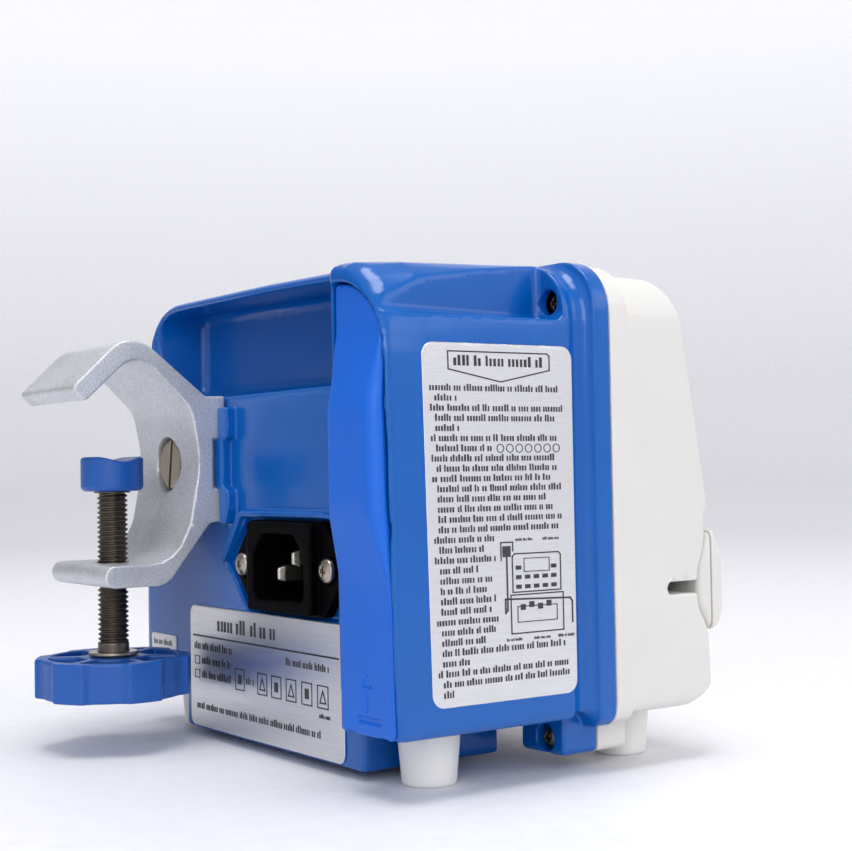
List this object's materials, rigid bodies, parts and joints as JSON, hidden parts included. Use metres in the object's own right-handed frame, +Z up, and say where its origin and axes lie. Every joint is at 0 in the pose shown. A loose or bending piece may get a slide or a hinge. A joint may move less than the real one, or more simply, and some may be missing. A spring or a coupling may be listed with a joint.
{
  "type": "infusion pump",
  "caption": "Bedside volumetric infusion pump with a two-part housing, hinged tube door, display and keys, battery compartment, mains inlet and screw clamp for a pole or rail.",
  "frame": {"origin": "on the table under the feet, at the centre of the whole pump and clamp seen from above", "axes": "+X to the right of a person facing the front, the front with the display and door faces -Y, +Z up"},
  "size_m": [0.146, 0.1296, 0.1196],
  "materials": {
    "blue_gloss": "glossy moulded ABS",
    "blue_matt": "satin moulded ABS",
    "white_housing": "satin moulded ABS",
    "silicone": "milky silicone rubber",
    "black_plastic": "satin",
    "stainless": "turned stainless steel",
    "anodised": "sand-blasted and clear anodised",
    "brass": "nickel-plated brass",
    "label_silver": "brushed metallised polyester label",
    "label_white": "satin paper label",
    "lens_white": "translucent diffuser",
    "display_glass": "clear window",
    "display_body": "liquid crystal module",
    "overlay": "printed polyester overlay",
    "board": "glass-epoxy circuit board",
    "pack_wrap": "shrink-wrapped cells",
    "acetal": "acetal",
    "seal": "foam cord seal",
    "motor_steel": "black zinc-plated steel"
  },
  "bodies": {
    "pump_case": {"rear_shell": "blue_gloss", "battery_pack": "pack_wrap", "front_housing": "white_housing", "housing_seal": "seal", "indicator_lens": "lens_white", "foot_rear_left": "silicone", "foot_rear_right": "silicone", "foot_front_left": "silicone", "foot_front_right": "silicone", "case_screw_top_left": "stainless", "case_screw_top_right": "stainless", "case_screw_bottom_left": "stainless", "case_screw_bottom_right": "stainless", "side_label": "label_silver", "rear_label": "label_silver", "serial_label": "label_white", "inlet_socket": "black_plastic", "inlet_pin_earth": "brass", "inlet_pin_line": "brass", "inlet_pin_neutral": "brass", "inlet_screw_left": "stainless", "inlet_screw_right": "stainless", "clamp_bracket": "anodised", "clamp_mount_screw": "stainless", "door_hinge_pin": "stainless", "pump_chassis": "anodised", "motor": "motor_steel", "air_detector": "black_plastic", "pressure_sensor": "stainless", "front_panel": "overlay", "display_lens": "display_glass", "display_module": "display_body", "main_board": "board", "power_board": "board"},
    "clamp_pad": {"clamp_pad": "blue_matt"},
    "clamp_screw": {"clamp_spindle": "stainless", "clamp_knob": "blue_matt", "clamp_washer": "stainless"},
    "door": {"door": "white_housing"},
    "door_latch": {"door_latch": "blue_matt"},
    "platen": {"platen": "acetal"},
    "battery_cover": {"battery_cover": "blue_matt"},
    "camshaft": {"camshaft": "stainless"},
    "motor_pinion": {"motor_pinion": "brass"},
    "free_flow_clamp": {"free_flow_clamp": "blue_matt"},
    "key_power": {"key_power": "silicone"},
    "key_rate": {"key_rate": "silicone"},
    "key_volume": {"key_volume": "silicone"},
    "key_purge": {"key_purge": "silicone"},
    "key_start": {"key_start": "silicone"},
    "key_stop": {"key_stop": "silicone"},
    "key_enter": {"key_enter": "silicone"},
    "key_mute": {"key_mute": "silicone"},
    "finger_1": {"finger_1": "acetal"},
    "finger_2": {"finger_2": "acetal"},
    "finger_3": {"finger_3": "acetal"},
    "finger_4": {"finger_4": "acetal"},
    "finger_5": {"finger_5": "acetal"},
    "finger_6": {"finger_6": "acetal"}
  },
  "joints": [
    {"name": "clamp_pad_slide", "type": "slide", "parent": "pump_case", "child": "clamp_pad", "axis": [0, 0, 1], "range_m": [-0.0171, 0.0141]},
    {"name": "clamp_screw_turn", "type": "hinge", "parent": "clamp_pad", "child": "clamp_screw", "pos_m": [0.037, 0.0468, 0.0233], "axis": [0, 0, 1], "range_deg": [-4896, 4032]},
    {"name": "door_hinge", "type": "hinge", "parent": "pump_case", "child": "door", "pos_m": [0, -0.0577, 0.0192], "axis": [1, 0, 0], "range_deg": [0, 100]},
    {"name": "door_latch_press", "type": "slide", "parent": "door", "child": "door_latch", "axis": [0, 1, 0], "range_m": [0, 0.002]},
    {"name": "platen_spring", "type": "slide", "parent": "door", "child": "platen", "axis": [0, -1, 0], "range_m": [0, 0.001], "stiffness_N_per_m": 2000},
    {"name": "battery_cover_hinge", "type": "hinge", "parent": "pump_case", "child": "battery_cover", "pos_m": [-0.058, 0.0321, 0.1106], "axis": [1, 0, 0], "range_deg": [0, 75]},
    {"name": "camshaft_turn", "type": "hinge", "parent": "pump_case", "child": "camshaft", "pos_m": [0, -0.0315, 0.0406], "axis": [1, 0, 0], "continuous": true},
    {"name": "motor_pinion_turn", "type": "hinge", "parent": "pump_case", "child": "motor_pinion", "pos_m": [0, -0.01472, 0.04738], "axis": [1, 0, 0], "continuous": true},
    {"name": "free_flow_clamp_lift", "type": "slide", "parent": "pump_case", "child": "free_flow_clamp", "axis": [0, 0, 1], "range_m": [0, 0.005]},
    {"name": "key_power_press", "type": "slide", "parent": "pump_case", "child": "key_power", "axis": [0, 0.9859, -0.1675], "range_m": [0, 0.0008], "stiffness_N_per_m": 1500},
    {"name": "key_rate_press", "type": "slide", "parent": "pump_case", "child": "key_rate", "axis": [0, 0.9859, -0.1675], "range_m": [0, 0.0008], "stiffness_N_per_m": 1500},
    {"name": "key_volume_press", "type": "slide", "parent": "pump_case", "child": "key_volume", "axis": [0, 0.9859, -0.1675], "range_m": [0, 0.0008], "stiffness_N_per_m": 1500},
    {"name": "key_purge_press", "type": "slide", "parent": "pump_case", "child": "key_purge", "axis": [0, 0.9859, -0.1675], "range_m": [0, 0.0008], "stiffness_N_per_m": 1500},
    {"name": "key_start_press", "type": "slide", "parent": "pump_case", "child": "key_start", "axis": [0, 0.9859, -0.1675], "range_m": [0, 0.0008], "stiffness_N_per_m": 1500},
    {"name": "key_stop_press", "type": "slide", "parent": "pump_case", "child": "key_stop", "axis": [0, 0.9859, -0.1675], "range_m": [0, 0.0008], "stiffness_N_per_m": 1500},
    {"name": "key_enter_press", "type": "slide", "parent": "pump_case", "child": "key_enter", "axis": [0, 0.9859, -0.1675], "range_m": [0, 0.0008], "stiffness_N_per_m": 1500},
    {"name": "key_mute_press", "type": "slide", "parent": "pump_case", "child": "key_mute", "axis": [0, 0.9859, -0.1675], "range_m": [0, 0.0008], "stiffness_N_per_m": 1500},
    {"name": "finger_1_stroke", "type": "slide", "parent": "pump_case", "child": "finger_1", "axis": [0, -1, 0], "range_m": [-0.001, 0.001]},
    {"name": "finger_2_stroke", "type": "slide", "parent": "pump_case", "child": "finger_2", "axis": [0, -1, 0], "range_m": [-0.001, 0.001]},
    {"name": "finger_3_stroke", "type": "slide", "parent": "pump_case", "child": "finger_3", "axis": [0, -1, 0], "range_m": [-0.001, 0.001]},
    {"name": "finger_4_stroke", "type": "slide", "parent": "pump_case", "child": "finger_4", "axis": [0, -1, 0], "range_m": [-0.001, 0.001]},
    {"name": "finger_5_stroke", "type": "slide", "parent": "pump_case", "child": "finger_5", "axis": [0, -1, 0], "range_m": [-0.001, 0.001]},
    {"name": "finger_6_stroke", "type": "slide", "parent": "pump_case", "child": "finger_6", "axis": [0, -1, 0], "range_m": [-0.001, 0.001]}
  ],
  "couplings": [
    {"joint": "clamp_pad_slide", "follows": "clamp_screw_turn", "m_per_rad": 0.00019894},
    {"joint": "motor_pinion_turn", "follows": "camshaft_turn", "ratio": -2}
  ]
}
